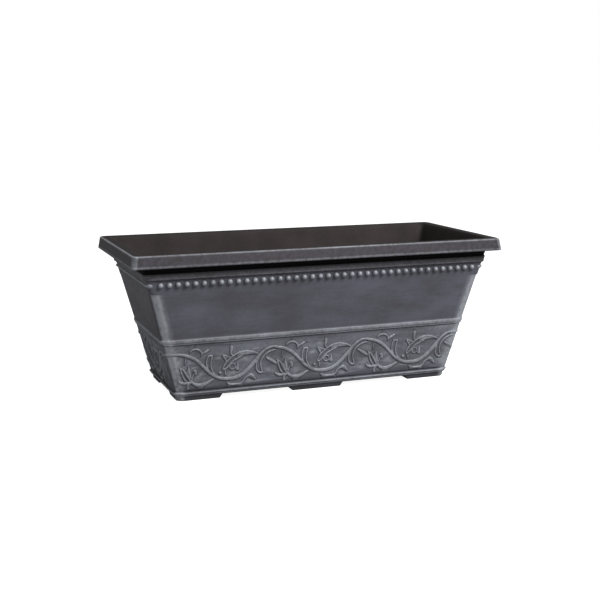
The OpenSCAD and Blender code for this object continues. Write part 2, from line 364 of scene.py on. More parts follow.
# Silver is rubbed more firmly on the end walls and ends of the rim
def endRub(point, ring):
    return shell["endRub"] if ring.wash > 0.0 and abs(point.x) > ring.length - ring.radius / 2 else 1.0


# How far a corner reaches from its centre. Up to the stop of the strips its first part, from the long
# wall on, is cut flat.
def cornerReach(over, radius, height):
    half = math.radians(shell["stripHalfTurn"])
    turn = abs(math.atan2(over.x, over.y) - half)
    if height > shell["stripTop"] + slack or turn > half:
        return radius
    return radius * math.cos(half) / math.cos(turn)


# Moves vertices that lie on the ring "old" to their places on the ring "new"
def fitRing(vertices, old, new):
    oldFlat = (old.length - old.radius, old.width - old.radius)
    newFlat = (new.length - new.radius, new.width - new.radius)
    for vertex in vertices:
        side = Vector((math.copysign(1, vertex.co.x), math.copysign(1, vertex.co.y)))
        over = Vector((abs(vertex.co.x) - oldFlat[0], abs(vertex.co.y) - oldFlat[1]))
        if over.x > -slack and over.y > -slack:
            reach = new.radius if new.inside else cornerReach(over, new.radius, new.height)
            turn = over.normalized() * reach
            vertex.co.x = side.x * (newFlat[0] + turn.x)
            vertex.co.y = side.y * (newFlat[1] + turn.y)
        elif over.y > 0:
            vertex.co.x *= newFlat[0] / oldFlat[0]
            vertex.co.y = side.y * new.width
        else:
            vertex.co.x = side.x * new.length
            vertex.co.y *= newFlat[1] / oldFlat[1]
        vertex.co.z = new.height


def makeWalls():
    rings = shellProfile()
    first = rings[0]
    walls = addShape(bpy.ops.mesh.primitive_plane_add, "planterShell", size=2)
    walls.scale = (first.length, first.width, 1)
    bpy.ops.object.transform_apply(scale=True)
    startEditing(walls)
    bpy.ops.mesh.bevel(affect="VERTICES", offset=first.radius, segments=shell["cornerSteps"], profile=0.5)
    bpy.ops.mesh.delete(type="ONLY_FACE")
    bpy.ops.mesh.select_mode(type="EDGE")
    for axis, cuts in ((0, shell["sideCuts"]), (1, shell["endCuts"])):
        selectWhere(walls, "EDGE", lambda e: abs(e.verts[0].co[axis] - e.verts[1].co[axis]) > first.width)
        bpy.ops.mesh.subdivide(number_cuts=cuts)
    bpy.ops.mesh.select_all(action="SELECT")
    bpy.ops.mesh.edge_face_add()
    bpy.ops.mesh.select_mode(type="FACE")
    bm = bmesh.from_edit_mesh(walls.data)
    bm.verts.layers.float.new("wash")
    fitRing(bm.verts, first, first)
    bmesh.update_edit_mesh(walls.data)
    for old, new in zip(rings, rings[1:]):
        bpy.ops.mesh.extrude_region_move(TRANSFORM_OT_translate={"value": (0, 0, new.height - old.height)})
        bm = bmesh.from_edit_mesh(walls.data)
        washLayer = bm.verts.layers.float["wash"]
        moved = [vertex for vertex in bm.verts if vertex.select]
        fitRing(moved, old, new)
        for vertex in moved:
            vertex[washLayer] = new.wash * endRub(vertex.co, new) + cornerWash(vertex.co, new)
        bmesh.update_edit_mesh(walls.data)
    turnOutwards(walls)
    return walls


# Feet: long blocks with sloped inner ends, flush with the walls

feet = {
    "cornerLength": 68.0,
    "cornerWidth": 46.0,
    "middleLength": 82.0,
    "middleDepth": 34.0,
    "inset": 0.4,  # of the soles, from the walls carried down to the ground
    "topInset": 0.7,  # of their tops, from the leaning walls
    "slope": 5.0,
    "edge": 0.9,
    "cornerCut": 7.0,
    # black on the feet, partly residue and partly painted shade under the box
    "wash": -0.5,
    "cornerWash": 1.2,
    "cornerWashFrom": 14.0,  # how near a corner of the box the silver begins
    "sunk": 1.0,  # how far a foot runs up into the floor
}


def makeFoot(name, lowX, highX, lowY, highY, slopes):
    foot = addShape(bpy.ops.mesh.primitive_cube_add, name, size=1)
    top = shell["footHeight"] + feet["sunk"]
    for vertex in foot.data.vertices:
        right, back, up = vertex.co.x > 0, vertex.co.y > 0, vertex.co.z > 0
        x, y = (highX if right else lowX), (highY if back else lowY)
        if up:
            x += slopes[1] if right else -slopes[0]
            y += slopes[3] if back else -slopes[2]
        vertex.co = (x, y, top if up else 0.0)
    startEditing(foot, "EDGE")
    endX, endY = shell["halfLength"] - 2 * feet["inset"], shell["halfWidth"] - 2 * feet["inset"]
    selectWhere(foot, "EDGE", lambda e: all(abs(v.co.x) > endX and abs(v.co.y) > endY for v in e.verts))
    bpy.ops.mesh.bevel(offset=feet["cornerCut"], segments=1)
    stopEditing()
    applyModifier(foot, "BEVEL", width=feet["edge"], segments=2, limit_method="ANGLE")
    return foot


def makeFeet():
    grow = shell["footHeight"] + feet["sunk"]
    outX, outY = shell["endLean"] * grow - feet["topInset"], shell["sideLean"] * grow - feet["topInset"]
    endX, endY = shell["halfLength"] - feet["inset"], shell["halfWidth"] - feet["inset"]
    inX, inY = endX - feet["cornerLength"], endY - feet["cornerWidth"]
    made = []
    for across in (-1, 1):
        for along in (-1, 1):
            lowX, highX = sorted((along * inX, along * endX))
            lowY, highY = sorted((across * inY, across * endY))
            slopes = [feet["slope"], outX] if along > 0 else [outX, feet["slope"]]
            slopes += [feet["slope"], outY] if across > 0 else [outY, feet["slope"]]
            made.append(makeFoot("cornerFoot", lowX, highX, lowY, highY, slopes))
        half = feet["middleLength"] / 2
        lowY, highY = sorted((across * (endY - feet["middleDepth"]), across * endY))
        slopes = [feet["slope"], feet["slope"]] + ([0.0, outY] if across > 0 else [outY, 0.0])
        made.append(makeFoot("middleFoot", -half, half, lowY, highY, slopes))
    return made


# Black on the feet, partly residue and partly painted shade under the box, with silver on the corners of
# the box
def rubFeet(piece):
    fromX = shell["halfLength"] - feet["cornerWashFrom"]
    fromY = shell["halfWidth"] - feet["cornerWashFrom"]
    startEditing(piece)
    for axis, reach in ((0, fromX), (1, fromY)):
        for side in (-1, 1):
            place, normal = Vector((0, 0, 0)), Vector((0, 0, 0))
            place[axis], normal[axis] = side * reach, side
            bpy.ops.mesh.select_all(action="SELECT")
            bpy.ops.mesh.bisect(plane_co=place, plane_no=normal)
    stopEditing()
    wash = piece.data.attributes.new("wash", "FLOAT", "POINT")
    for vertex in piece.data.vertices:
        atCorner = abs(vertex.co.x) > fromX + slack and abs(vertex.co.y) > fromY + slack
        wash.data[vertex.index].value = feet["cornerWash"] if atCorner else feet["wash"]


# Drain holes, in the places of the plugs

def plugCentre(index):
    low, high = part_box(f"drain_plug_{index}")
    return (low + high) / 2 / mm


def cutDrainHoles(walls):
    holes = []
    for index in range(1, 7):
        centre = plugCentre(index)
        holes.append(addShape(bpy.ops.mesh.primitive_cylinder_add, "drainHole", vertices=48,
                              radius=shell["drainDiameter"] / 2, depth=shell["drainCut"],
                              location=(centre.x, centre.y, shell["floorTop"])))
    cutter = joinPieces(holes[0], holes[1:])
    applyModifier(walls, "BOOLEAN", operation="DIFFERENCE", solver="EXACT", object=cutter)
    bpy.data.objects.remove(cutter)


# Vine frieze. A stroke is a list of (along, height, width), drawn on a flat wall.

vine = {
    "turn": 156.2,
    "drawnTurn": 158.2,  # length of a turn as the strokes below are drawn
    "shift": 6.0,
    "turns": 3,
    "reach": 6.0,  # the wall is pushed out this far, then falls back onto the carving
    "height": 2.1,  # the most that the carving stands out; it is flatter on top than its round strokes
    "softness": 1.5,
    "lowWash": 0.35,  # the rag touches the carving from this height up
    "fullWash": 1.15,  # and rubs it fully from this one
    "groundWash": 0.95,  # on the ground between the strokes
    # the black beside the carving is partly residue and partly painted shade
    "recessShade": 3.0,  # how far from the carving black is left on the ground
    "recessFull": 1.0,  # and how near to it the black is full
    "besideShade": -0.62,
    # moving black under the strokes paints their shadow from the light above
    "shadowTilt": 0.15,  # share of that black moved from over a stroke to under it
    "lowEdge": (5.0, 0.7),  # black along the frieze's lower edge: how high, and how much
    "highEdge": (4.0, 0.3),
    "endFrom": 5.0,  # less than this far inside an end wall, its own washes hold
    "endEdge": 0.4,  # share of the edges' black on the end walls
    "endGround": (0.3, 0.8),  # silver on their ground, and the share of the usual on top of it
    "cornerFree": 2.5,  # all strokes but the stems end this far past a corner's start
    "sunk": 2.0,  # what ends there goes this far into the wall
    "links": (8, ((-1, 8), (1, 14))),  # of stems round a corner: length before it, (side, length after)
    "edgeFree": 0.1,  # the frieze's first and last level stay as they are
    "missed": 0.8,  # share of the reach past which the carving was missed
    "keptWeight": 0.5,  # share of the thinning that triangles near the carving get
    "stems": [
        [(-81, 76.9, 4.2), (-70, 74.7, 5), (-60, 70.6, 5.4), (-50, 63.9, 5.6), (-40, 54, 5.2),
         (-30, 43.4, 5), (-20, 36.4, 5), (-10, 32.1, 5.4), (0, 30.8, 5.6), (10, 31.3, 6.4),
         (20, 34.8, 6.6), (30, 41.9, 7), (40, 52.2, 7.2), (48, 61.8, 6.2), (55, 69.8, 5), (62, 75, 4.4),
         (70, 77.7, 4.2), (81, 76.9, 4.2)],
        [(61.6, 61, 3.6), (66, 58.4, 4.8), (73, 54, 5.2), (78, 50.6, 4.8), (79.6, 49.2, 3.4)],
        [(-23.4, 32.2, 3.6), (-28, 30.2, 4.8), (-35, 26.6, 6), (-43, 24.2, 6.4), (-50, 25, 5.8),
         (-56, 28.4, 5), (-60, 32.4, 4.4)],
    ],
    "ribs": [
        [(-30.6, 45.4, 2.4), (-33.4, 50.4, 2.8), (-35.2, 56, 2.9), (-35.4, 62, 2.9), (-34.2, 67.4, 3),
         (-32.6, 70.6, 3)],
        [(-34, 70.4, 2.6), (-30, 71, 3.2), (-25.8, 70.2, 3.2)],
        [(-26.4, 70, 3), (-27.6, 65, 2.9), (-28.4, 59, 2.9), (-28, 52.6, 2.9), (-26.2, 46.8, 3),
         (-22.8, 41.6, 3), (-18.4, 37.6, 2.6)],
        [(48.6, 58.6, 2.6), (46.8, 53, 2.8), (46.2, 47, 2.8), (47.2, 41.4, 2.8), (50.2, 37.8, 3)],
        [(50, 37.6, 3), (53.6, 36.2, 3.2), (57.8, 36.8, 3)],
        [(56.6, 37.4, 2.6), (55.2, 42, 2.8), (53.6, 47.6, 2.8), (53.2, 53, 2.8), (54.8, 58.6, 2.9),
         (57.8, 63.4, 3), (61.8, 67.2, 3), (66.6, 69.8, 2.9), (72, 71.4, 2.6), (78, 72, 2)],
        [(48.6, 67.6, 2.6), (43, 70.6, 3), (36, 72.7, 3.2), (28, 73.8, 3.3), (20, 73.3, 3.3),
         (13.4, 71.3, 3.2), (7.4, 67.7, 3), (2.2, 63.8, 3), (-2.4, 59.8, 3), (-5.4, 55.6, 3),
         (-7.6, 51.4, 2.8), (-8.8, 47.4, 2.6)],
        [(24, 66.9, 2.2), (18, 65.2, 3), (12.4, 62.4, 3.2), (7.2, 59.3, 3.2), (3.2, 55.4, 3),
         (0, 51.6, 3), (-3.6, 48.2, 3), (-8.6, 46, 3)],
        [(-9.8, 70, 2.4), (-7.2, 66, 3), (-4.8, 62.6, 2.8), (-3.4, 60.2, 2.2)],
        [(-10, 70.2, 2.6), (-5.4, 69.4, 2.6), (-0.4, 67, 2.4), (3.4, 65.2, 2)],
        [(3.9, 85, 3.4), (4.1, 81.4, 5.6), (3.9, 77, 4.8), (3.5, 73, 3), (5, 69.8, 2.8), (8, 68.2, 2.2)],
        [(-1.4, 25.2, 2.6), (2, 22.2, 3.2), (7, 20.8, 3.4), (14, 20.6, 3.4), (20.6, 21.4, 3.4),
         (24.8, 24.2, 3.2), (26.8, 28, 3.2), (29, 30.2, 3), (32.4, 32.2, 3.6), (36.6, 34.2, 4.2),
         (40.6, 32.8, 4.2), (43.4, 29.2, 3.8), (45.8, 25.6, 2.6)],
        [(-63, 78.6, 2.4), (-60.4, 81.6, 3), (-56.2, 83.2, 3.2), (-50.8, 82.8, 3.2), (-46.4, 80.6, 3.2),
         (-43.8, 76.8, 3.6), (-43.4, 71.6, 2.6)],
        [(-43.6, 75, 2.6), (-39, 77.4, 4.6), (-34.8, 79.6, 4.4), (-30.8, 81.6, 2.2)],
        [(-78, 56.4, 2.2), (-75.6, 49, 3), (-73.4, 42.4, 3.2), (-70.4, 36.4, 3), (-66.6, 31.6, 2.6)],
        [(-77.2, 55.6, 2), (-71.2, 50, 2.8), (-67.8, 44, 3.6), (-64, 38, 3.6), (-60.8, 32.6, 3)],
        [(-64, 56.4, 2), (-63.2, 50.4, 3.8), (-61.6, 43.6, 3.8), (-60, 36.6, 3)],
        [(-56.6, 48, 2.4), (-53.4, 49.2, 3), (-51.4, 45.6, 3), (-52.4, 41.2, 2.6)],
        [(-55.6, 42.6, 2.2), (-57.6, 38, 2.6), (-58.6, 32.4, 2.6)],
        [(-69.3, 70.4, 1.8), (-69.2, 65, 2.4), (-70.2, 58.6, 1.8)],
        [(-80.2, 33.6, 2.8), (-76.4, 30.8, 4.2), (-70.2, 29.2, 4.6), (-64.2, 29.6, 4.2),
         (-59.6, 30.2, 3.4)],
        [(-61, 28.8, 2.4), (-64.2, 26, 3), (-65, 22.4, 3.6), (-62.8, 19, 3)],
        [(-4.6, 45, 2.4), (-4.5, 41, 3.4), (-3.8, 37, 2.6)],
        [(15, 56, 2.6), (15.4, 51, 5), (14.8, 46, 6.4), (14.4, 44, 4)],
        [(-15.6, 41.6, 3), (-13.3, 41.7, 4.4), (-11, 41.7, 3)],
    ],
    "blades": [
        [(46, 69, 3), (38, 70.2, 5), (29, 70.6, 6.4), (20, 69.4, 6.4), (13, 66.8, 4)],
        [(-7.4, 68, 2.6), (-4, 66, 5), (-1, 64.4, 4)],
        [(-54.4, 47.6, 4), (-53.4, 44.6, 5.4), (-54.4, 41.6, 3.4)],
        [(-63.8, 54, 2.6), (-66, 46, 5), (-62.4, 38, 5)],
        [(34, 32, 3), (39, 31, 5), (43, 27.6, 4)],
    ],
    "flower": (6.8, 50.6, 4.6, 2.4),  # along, height, radius and width of the ring
}
strokeSets = {"stems": 0.85, "ribs": 1.15, "blades": 0.36}  # height over half width


def flatStrokes(name, strokes, lift, closed=()):
    clearSelection()
    bpy.ops.curve.primitive_bezier_curve_add()
    drawing = bpy.context.object
    drawing.name = name
    curve = drawing.data
    curve.splines.clear()
    curve.dimensions = "3D"
    curve.resolution_u = 5
    curve.bevel_depth = 1.0
    curve.bevel_resolution = 3
    curve.use_fill_caps = True
    for number, points in enumerate(strokes):
        spline = curve.splines.new("BEZIER")
        spline.bezier_points.add(len(points) - 1)
        spline.use_cyclic_u = number in closed
        for point, (along, height, width) in zip(spline.bezier_points, points):
            point.co = (along, 0.0, height)
            point.radius = width / 2
            point.handle_left_type = "AUTO"
            point.handle_right_type = "AUTO"
    bpy.ops.object.convert(target="MESH")
    drawing = bpy.context.object
    startEditing(drawing)
    bpy.ops.transform.resize(value=(1, lift, 1), center_override=(0, 0, 0))
    stopEditing()
    return drawing


def ringStroke(along, height, radius, width, steps=8):
    turns = [2 * math.pi * step / steps for step in range(steps)]
    return [(along + radius * math.cos(turn), height + radius * math.sin(turn), width) for turn in turns]


# The place on the outer wall at "along" from the middle of a side, at a height, standing out by "out".
# Sides go round from the front: 0 front, 1 right end, 2 back, 3 left end.
def onWall(side, along, height, out):
    length, width, radius = lengthAt(height), widthAt(height), radiusAt(height)
    reach, distance = (length, width) if side % 2 == 0 else (width, length)
    flat, core = reach - radius, distance - radius
    past = abs(along) - flat
    if past <= 0:
        place = (abs(along), distance + out)
    elif past <= radius * math.pi / 2:
        turn = past / radius
        over = Vector((math.sin(turn), math.cos(turn)))
        far = cornerReach(over if side % 2 == 0 else over.yx, radius, height) + out
        place = (flat + far * over.x, core + far * over.y)
    else:
        place = (reach + out, core - (past - radius * math.pi / 2))
    right = math.copysign(place[0], along)
    x, y = [(right, -place[1]), (place[1], right), (-right, place[1]), (-place[1], -right)][side]
    return Vector((x, y, height))


def wrapStrokes(drawing, side, shift, keepCorner):
    wrapped = copyOf(drawing, "wrappedStrokes")
    for vertex in wrapped.data.vertices:
        along = vertex.co.x * vine["turn"] / vine["drawnTurn"] + shift
        out, height = -vertex.co.y, vertex.co.z
        reach = lengthAt(height) if side % 2 == 0 else widthAt(height)
        if not keepCorner and abs(along) > reach - shell["cornerRadius"] + vine["cornerFree"]:
            out = min(out, 0.0) - vine["sunk"]
        elif out > 0:
            out = vine["height"] * (1 - math.exp(-out / vine["softness"]))
        vertex.co = onWall(side, along, height, out)
    return wrapped


def cornerStrokes():
    peak, width = vine["stems"][0][0][1:]
    flat = widthAt(peak) - shell["cornerRadius"]
    arc = shell["cornerRadius"] * math.pi / 2
    start, ends = vine["links"]
    return [[(sign * (flat - start), peak, width), (sign * (flat + arc / 2), peak, width),
             (sign * (flat + arc + end), peak, width)] for sign, end in ends]


def makeCarving():
    ring = ringStroke(*vine["flower"])
    closed = (len(vine["ribs"]),)
    flat = [flatStrokes("vineStems", vine["stems"], strokeSets["stems"])]
    flat += [flatStrokes("vineRibs", vine["ribs"] + [ring], strokeSets["ribs"], closed)]
    flat += [flatStrokes("vineBlades", vine["blades"], strokeSets["blades"])]
    links = flatStrokes("vineLinks", cornerStrokes(), strokeSets["stems"])
    wrapped = []
    for side in range(4):
        turns = vine["turns"] if side % 2 == 0 else 1
        for turn in range(turns):
            shift = (turn - (turns - 1) / 2) * vine["turn"] + (vine["shift"] if side % 2 == 0 else 0.0)
            wrapped += [wrapStrokes(drawing, side, shift, drawing is flat[0]) for drawing in flat]
        if side % 2:
            wrapped.append(wrapStrokes(links, side, 0.0, True))
    for drawing in flat + [links]:
        bpy.data.objects.remove(drawing)
    return joinPieces(wrapped[0], wrapped[1:])


# How far a point stands out of the plain wall at its own height
def standsOut(point):
    length, width, radius = lengthAt(point.z), widthAt(point.z), radiusAt(point.z)
    overX, overY = abs(point.x) - (length - radius), abs(point.y) - (width - radius)
    if overX > 0 and overY > 0:
        return math.hypot(overX, overY) - cornerReach(Vector((overX, overY)), radius, point.z)
    return max(overX, overY) - radius


# Silver on what stands out, and black on the ground beside it, partly residue and partly painted shade,
# with more under it than over it as a painted shadow, and along both edges. Vertices that carry none of it
# can be spared.
def rubFrieze(band, spared):
    wash = band.data.attributes["wash"]
    heights = [standsOut(vertex.co) for vertex in band.data.vertices]
    raised = KDTree(len(heights))
    for vertex, height in zip(band.data.vertices, heights):
        if height > vine["lowWash"]:
            raised.insert(vertex.co, vertex.index)
    raised.balance()
    tilt = vine["shadowTilt"]
    (lowReach, lowBlack), (highReach, highBlack) = vine["lowEdge"], vine["highEdge"]
    kept = []
    for vertex, height in zip(band.data.vertices, heights):
        touched = (height - vine["lowWash"]) / (vine["fullWash"] - vine["lowWash"])
        rubbed = min(max(touched, 0.0), 1.0)
        nearest, number, distance = raised.find(vertex.co)
        beside = min(max((vine["recessShade"] - distance) / (vine["recessShade"] - vine["recessFull"]), 0.0), 1.0)
        # painted shadow: the black beside a stroke is moved to below it
        if distance > slack:
            beside *= 1 - tilt + tilt * (nearest.z - vertex.co.z) / distance
        fromLow = max(1.0 - (vertex.co.z - shell["friezeLow"]) / lowReach, 0.0)
        fromHigh = max(1.0 - (shell["friezeHigh"] - vertex.co.z) / highReach, 0.0)
        edge = max(lowBlack * fromLow, highBlack * fromHigh)
        ground = vine["groundWash"] * (1.0 - max(fromLow, fromHigh)) * (1.0 - beside)
        ground += cornerWash(vertex.co, wallRing(vertex.co.z))
        if abs(vertex.co.x) > lengthAt(vertex.co.z) - vine["endFrom"]:
            rubbed *= shell["endRub"]
            edge *= vine["endEdge"]
            ground = vine["endGround"][0] + vine["endGround"][1] * ground
        ground += min(vine["besideShade"] * beside, -edge)
        wash.data[vertex.index].value = rubbed + (1.0 - min(rubbed, 1.0)) * ground
        if beside > 0.0:
            kept.append(vertex.index)
    spared.add(kept, vine["keptWeight"], "REPLACE")


def carveFrieze(walls):
    low, high = shell["friezeLow"] - slack, shell["friezeHigh"] + slack
    startEditing(walls, "FACE")
    selectWhere(walls, "FACE", lambda face: all(low < vertex.co.z < high for vertex in face.verts))
    bpy.ops.mesh.subdivide(number_cuts=shell["friezeCuts"])
    bpy.ops.mesh.separate(type="SELECTED")
    stopEditing()
    band = next(piece for piece in bpy.context.selected_objects if piece is not walls)
    plain = [vertex.co.copy() for vertex in band.data.vertices]
    carving = makeCarving()
    group = band.vertex_groups.new(name="carved")
    low, high = low + vine["edgeFree"], high - vine["edgeFree"]
    group.add([v.index for v in band.data.vertices if low < v.co.z < high], 1.0, "REPLACE")
    applyModifier(band, "DISPLACE", strength=vine["reach"], mid_level=0.0, vertex_group="carved")
    applyModifier(band, "SHRINKWRAP", wrap_method="PROJECT", target=carving, vertex_group="carved",
                  use_positive_direction=False, use_negative_direction=True)
    bpy.data.objects.remove(carving)
    for vertex in band.data.vertices:  # what the carving doesn't cover goes back to the plain wall
        moved = (vertex.co - plain[vertex.index]).length
        if standsOut(vertex.co) <= 0.0 or moved > vine["missed"] * vine["reach"]:
            vertex.co = plain[vertex.index]
    applyModifier(band, "SMOOTH", factor=0.5, iterations=1, vertex_group="carved")
    rubFrieze(band, group)
    applyModifier(band, "DECIMATE", decimate_type="COLLAPSE", ratio=shell["friezeKeep"],
                  vertex_group="carved", vertex_group_factor=0.02)
    band.vertex_groups.clear()
    joinPieces(walls, [band])
    startEditing(walls)
    seams = (shell["friezeLow"], shell["friezeHigh"])
    selectWhere(walls, "VERT", lambda vertex: min(abs(vertex.co.z - seam) for seam in seams) < 2 * slack)
    bpy.ops.mesh.remove_doubles(threshold=2 * slack)
    stopEditing()


# Beads: one is modelled, repeated along a wall and mirrored to the other

beads = {
    "diameter": 8.6,
    "pitch": 13.26,
    "count": 40,
    "height": 187.2,
    "out": 1.1,  # how far a bead's middle stands in front of the wall
    # a bead's upper outer side is lighter: silver rubbed on, with a painted highlight from the light above
    "light": (0, -0.7, 0.7),  # the way that a bead's brightest side faces
    "wash": 0.5,
    "highlightWash": 1.1,  # silver on that side, on top
    "cornerInward": 3.5,
    "cornerStretch": 1.35,
    "cornerInside": 0.4,  # a corner bead's inner side is thinned so, to stay in the wall
    "ridgeDiameter": 4.0,
    # the end ridge's upper part is lighter, a painted highlight from the light above
    "ridgeWashAndHighlight": (0.9, 1.6),  # below and above "ridgeCrest"
    "ridgeCrest": -1.2,  # over its middle
    "smoothAngle": 60,
}


def makeBead(name, place, light, stretch=1.0):
    clearSelection()
    bpy.ops.mesh.primitive_uv_sphere_add(segments=20, ring_count=12, radius=beads["diameter"] / 2)
    bead = bpy.context.object
    bead.name = name
    wash = bead.data.attributes.new("wash", "FLOAT", "POINT")
    for vertex in bead.data.vertices:
        # painted highlight: silver grows on the side that faces the light
        facing = max(vertex.co.normalized().dot(light.normalized()), 0.0)
        wash.data[vertex.index].value = beads["wash"] + beads["highlightWash"] * facing
        vertex.co.x *= stretch
        if stretch > 1.0 and vertex.co.y * light.y < 0.0:
            vertex.co.y *= beads["cornerInside"]
    bead.location = place
    bpy.ops.object.transform_apply(location=True)
    return bead


def makeBeads():
    height, stretch = beads["height"], beads["cornerStretch"]
    first = Vector((-(beads["count"] - 1) / 2 * beads["pitch"], -widthAt(height) - beads["out"], height))
    row = makeBead("beadRows", first, Vector(beads["light"]))
    applyModifier(row, "ARRAY", count=beads["count"], use_relative_offset=False, use_constant_offset=True,
                  constant_offset_displace=(beads["pitch"], 0, 0))
    applyModifier(row, "MIRROR", use_axis=(False, True, False))
    others = []
    cornerX, cornerY = lengthAt(height) - beads["cornerInward"], widthAt(height) - beads["cornerInward"]
    cornerX -= (stretch - 1.0) * beads["diameter"] / 2
    for right in (-1, 1):
        for back in (-1, 1):
            place = Vector((right * cornerX, back * cornerY, height))
            others.append(makeBead("cornerBead", place, Vector((right, back, 1)), stretch))
        ridge = addShape(bpy.ops.mesh.primitive_cylinder_add, "endRidge", vertices=16,
                         radius=beads["ridgeDiameter"] / 2, depth=2 * cornerY,
                         location=(right * lengthAt(height), 0, height), rotation=(math.radians(90), 0, 0))
        wash = ridge.data.attributes.new("wash", "FLOAT", "POINT")
        for vertex in ridge.data.vertices:
            # the ridge's upper part gets the painted highlight
            isCrest = vertex.co.z > height + beads["ridgeCrest"]
            wash.data[vertex.index].value = beads["ridgeWashAndHighlight"][isCrest]
        others.append(ridge)
    joinPieces(row, others)
    turnOutwards(row)
    return row


# Drain plugs: soft push-in plugs with a flange, a hollow below and a finger tab

plug = {
    "stemRadius": 8.95,
    "hollowRadius": 5.95,
    "hollowDepth": 2.7,
    "flangeRadius": 13.5,
    "flangeThickness": 2.5,
    "flangeRing": 3.4,  # width of the ring round the shallow dish in the flange's top
    "dishDepth": 0.5,
    "tabHalf": 5.8,
    "tabHeight": 8.0,
    "tabThickness": 3.2,
    "tabRound": 2.0,  # radius of its shoulders
    "tabRoot": 1.0,  # how far it runs down into the flange
    "tabEdge": 0.4,
    "gripRises": (3.4, 5.0, 6.6),  # heights of the grip ribs over the flange
    "gripRadius": 0.55,
    "gripSunk": 0.05,
    "edge": 0.5,
    "sharpFrom": 50,  # degrees; edges sharper than this are rounded
}


def makePlug():
    low, high = shell["footHeight"], shell["floorTop"]
    sharpFrom = math.radians(plug["sharpFrom"])
    stem = addShape(bpy.ops.mesh.primitive_cylinder_add, "drainPlug", vertices=48,
                    radius=plug["stemRadius"], depth=high - low, location=(0, 0, (low + high) / 2))
    startEditing(stem, "FACE")
    selectWhere(stem, "FACE", lambda face: face.normal.z < -0.9)
    bpy.ops.mesh.inset(thickness=plug["stemRadius"] - plug["hollowRadius"])
    bpy.ops.mesh.extrude_region_move(TRANSFORM_OT_translate={"value": (0, 0, plug["hollowDepth"])})
    selectWhere(stem, "FACE", lambda f: f.normal.z > 0.9 and f.calc_center_median().z > high - slack)
    bpy.ops.mesh.extrude_region_move()
    grow = plug["flangeRadius"] / plug["stemRadius"]
    bpy.ops.transform.resize(value=(grow, grow, 1), center_override=(0, 0, high))
    bpy.ops.mesh.extrude_region_move(TRANSFORM_OT_translate={"value": (0, 0, plug["flangeThickness"])})
    bpy.ops.mesh.inset(thickness=plug["flangeRing"])
    bpy.ops.mesh.extrude_region_move(TRANSFORM_OT_translate={"value": (0, 0, -plug["dishDepth"])})
    stopEditing()
    applyModifier(stem, "BEVEL", width=plug["edge"], segments=3, limit_method="ANGLE",
                  angle_limit=sharpFrom)
    applyModifier(stem, "WELD", merge_threshold=slack)  # where two of these roundings meet, in the dish
    base = high + plug["flangeThickness"]
    tab = addShape(bpy.ops.mesh.primitive_cube_add, "fingerTab", size=1,
                   location=(0, 0, base + (plug["tabHeight"] - plug["tabRoot"]) / 2),
                   scale=(2 * plug["tabHalf"], plug["tabThickness"], plug["tabHeight"] + plug["tabRoot"]))
    startEditing(tab, "EDGE")
    selectWhere(tab, "EDGE", lambda edge: abs(edge.verts[0].co.y - edge.verts[1].co.y) > 1
                and edge.verts[0].co.z > base + 1)
    bpy.ops.mesh.bevel(offset=plug["tabRound"], segments=6)
    stopEditing()
    applyModifier(tab, "BEVEL", width=plug["tabEdge"], segments=2, limit_method="ANGLE",
                  angle_limit=sharpFrom)
    flatten = (plug["tabThickness"] / 2 - plug["gripSunk"]) / plug["gripRadius"]
    ribs = []
    for rise in plug["gripRises"]:
        ribs.append(addShape(bpy.ops.mesh.primitive_cylinder_add, "gripRib", vertices=12,
                             radius=plug["gripRadius"], depth=1.5 * plug["tabHalf"],
                             location=(0, 0, base + rise), rotation=(0, math.radians(90), 0),
                             scale=(1, flatten, 1)))
    return joinPieces(stem, [tab] + ribs)


# Materials

finish = {
    "coat": "#4c4d57",  # where a thin mist of silver lies on it
    "coatDark": "#3c3b41",
    "silver": "#8a8d93",
    "rim": "#333038",
    "rimDark": "#221e1e",
    "rimBrownFrom": 190.0,  # mm; the coat turns to the rim's between these two heights
    "rimBrownTo": 198.0,
    # the same black also paints the shade under the rim, band, beads and mouldings
    "recessShade": "#0b0a0b",  # black left by the wiping off
    "inside": "#302a2a",
    # the inner corners' lighter band, partly wear and partly a painted sheen
    "insideWornAndSheen": "#4a4443",
    "rubber": "#1d1d20",
    "mistLength": 70.0,  # mm, of the clouds of silver mist, longer than high
    "mistHeight": 34.0,
    "smudgeLength": 30.0,  # mm, of the faint level smears
    "smudgeHeight": 4.0,
    "wornPatch": 7.0,  # mm, of the patches where the silver is rubbed thinner
    "grain": 1.4,  # mm; the real grain is finer, and is drawn this coarse to show
    "soilCloud": 55.56,  # mm, of the clouds of old soil
    "rubberDust": 6.25,  # mm
}
spread = {"From Min": 0.3, "From Max": 0.7}  # most of what a noise gives lies between these


# Scale of a pattern from its size in mm
def scaleOf(name):
    return 1 / (finish[name] * mm)


